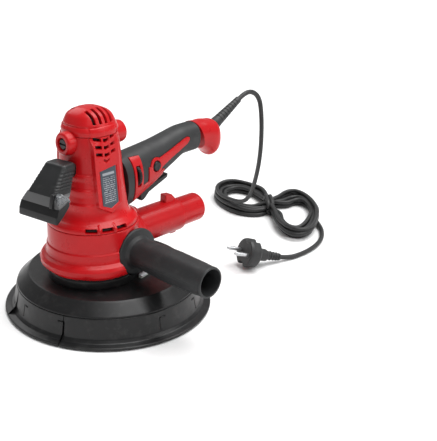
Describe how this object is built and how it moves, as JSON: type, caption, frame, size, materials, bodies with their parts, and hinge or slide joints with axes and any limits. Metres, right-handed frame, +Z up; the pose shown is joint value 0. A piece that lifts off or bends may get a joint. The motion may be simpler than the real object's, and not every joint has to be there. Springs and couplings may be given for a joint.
{
  "type": "drywall sander",
  "caption": "Hand-held drywall sander: round dust shroud and sanding pad under an upright motor, with rear trigger handle, side handle, front lamp, dust outlet and mains cord.",
  "frame": {"origin": "centre of the sanding face, on the spindle axis", "axes": "+Z up along the spindle, +X towards the main handle, -Y towards the side handle"},
  "size_m": [0.54, 0.3098, 0.2245],
  "materials": {
    "red_abs": "semi-gloss moulded",
    "charcoal_grip": "soft matt overmould",
    "black_satin": "satin moulded",
    "clear": "clear moulded",
    "board": "white circuit board",
    "inner_plastic": "plain",
    "cast_metal": "die cast",
    "steel": "ground",
    "core_steel": "laminated",
    "copper": "enamelled copper",
    "carbon": "pressed carbon",
    "label": "printed film",
    "cord": "matt sheath",
    "foam": "open-cell foam",
    "abrasive": "aluminium oxide grit"
  },
  "bodies": {
    "housing": {"shroud_cover": "black_satin", "rim_ring": "black_satin", "light_ring_lens": "clear", "light_ring_board": "board", "neck_collar": "black_satin", "lower_plate": "cast_metal", "gear_housing": "red_abs", "mid_plate": "cast_metal", "spindle_bearings": "steel", "motor_bearings": "steel", "motor_case": "red_abs", "top_cap": "red_abs", "stator_core": "core_steel", "field_coils": "copper", "brush_caps": "black_satin", "brush_holders": "copper", "carbon_brushes": "carbon", "name_plate": "label", "handle_left": "charcoal_grip", "handle_right": "charcoal_grip", "handle_end_cap": "red_abs", "cord_strain_relief": "charcoal_grip", "switch_module": "inner_plastic", "speed_board": "board", "capacitor": "inner_plastic", "trigger_pivot": "steel", "side_handle_grip": "charcoal_grip", "side_handle_stud": "steel", "dust_pipe": "red_abs", "lamp_shell": "black_satin", "lamp_base": "black_satin", "lamp_board": "board", "lamp_bracket": "black_satin", "lamp_lens": "clear", "power_cord": "cord", "cord_tail": "cord", "cord_hank": "cord", "cord_tie": "cord", "plug_body": "cord", "plug_pins": "steel"},
    "pad": {"spindle": "steel", "spindle_gear": "steel", "backing_plate": "black_satin", "foam_pad": "foam", "sanding_disc": "abrasive", "pad_bolt": "steel"},
    "armature": {"armature_shaft": "steel", "armature_core": "core_steel", "commutator": "copper", "fan": "black_satin"},
    "trigger": {"trigger": "black_satin"},
    "lock_button": {"lock_button": "black_satin"},
    "speed_dial": {"speed_dial": "black_satin"},
    "rim_segment": {"rim_segment": "black_satin"},
    "dust_nozzle": {"dust_nozzle": "red_abs"}
  },
  "joints": [
    {"name": "spindle_spin", "type": "hinge", "parent": "housing", "child": "pad", "pos_m": [0, 0, 0.05], "axis": [0, 0, 1], "continuous": true},
    {"name": "armature_spin", "type": "hinge", "parent": "housing", "child": "armature", "pos_m": [-0.0196, 0, 0.15], "axis": [0, 0, 1], "continuous": true},
    {"name": "trigger_squeeze", "type": "hinge", "parent": "housing", "child": "trigger", "pos_m": [0.05, 0, 0.1235], "axis": [0, -1, 0], "range_deg": [0, 5], "stiffness_Nm_per_rad": 0.6, "springref_deg": -8.59},
    {"name": "lock_press", "type": "slide", "parent": "housing", "child": "lock_button", "axis": [0, 1, 0], "range_m": [0, 0.0025], "stiffness_N_per_m": 300, "springref_m": -0.001},
    {"name": "speed_turn", "type": "hinge", "parent": "housing", "child": "speed_dial", "pos_m": [0.0226, -0.0146, 0.1457], "axis": [1, 0, 0], "range_deg": [-135, 135]},
    {"name": "segment_pull", "type": "slide", "parent": "housing", "child": "rim_segment", "axis": [-1, 0, 0], "range_m": [0, 0.04]},
    {"name": "nozzle_twist", "type": "hinge", "parent": "housing", "child": "dust_nozzle", "pos_m": [0.1, 0, 0.076], "axis": [1, 0, 0], "range_deg": [0, 30]}
  ],
  "couplings": [
    {"joint": "armature_spin", "follows": "spindle_spin", "ratio": -5.0938}
  ]
}
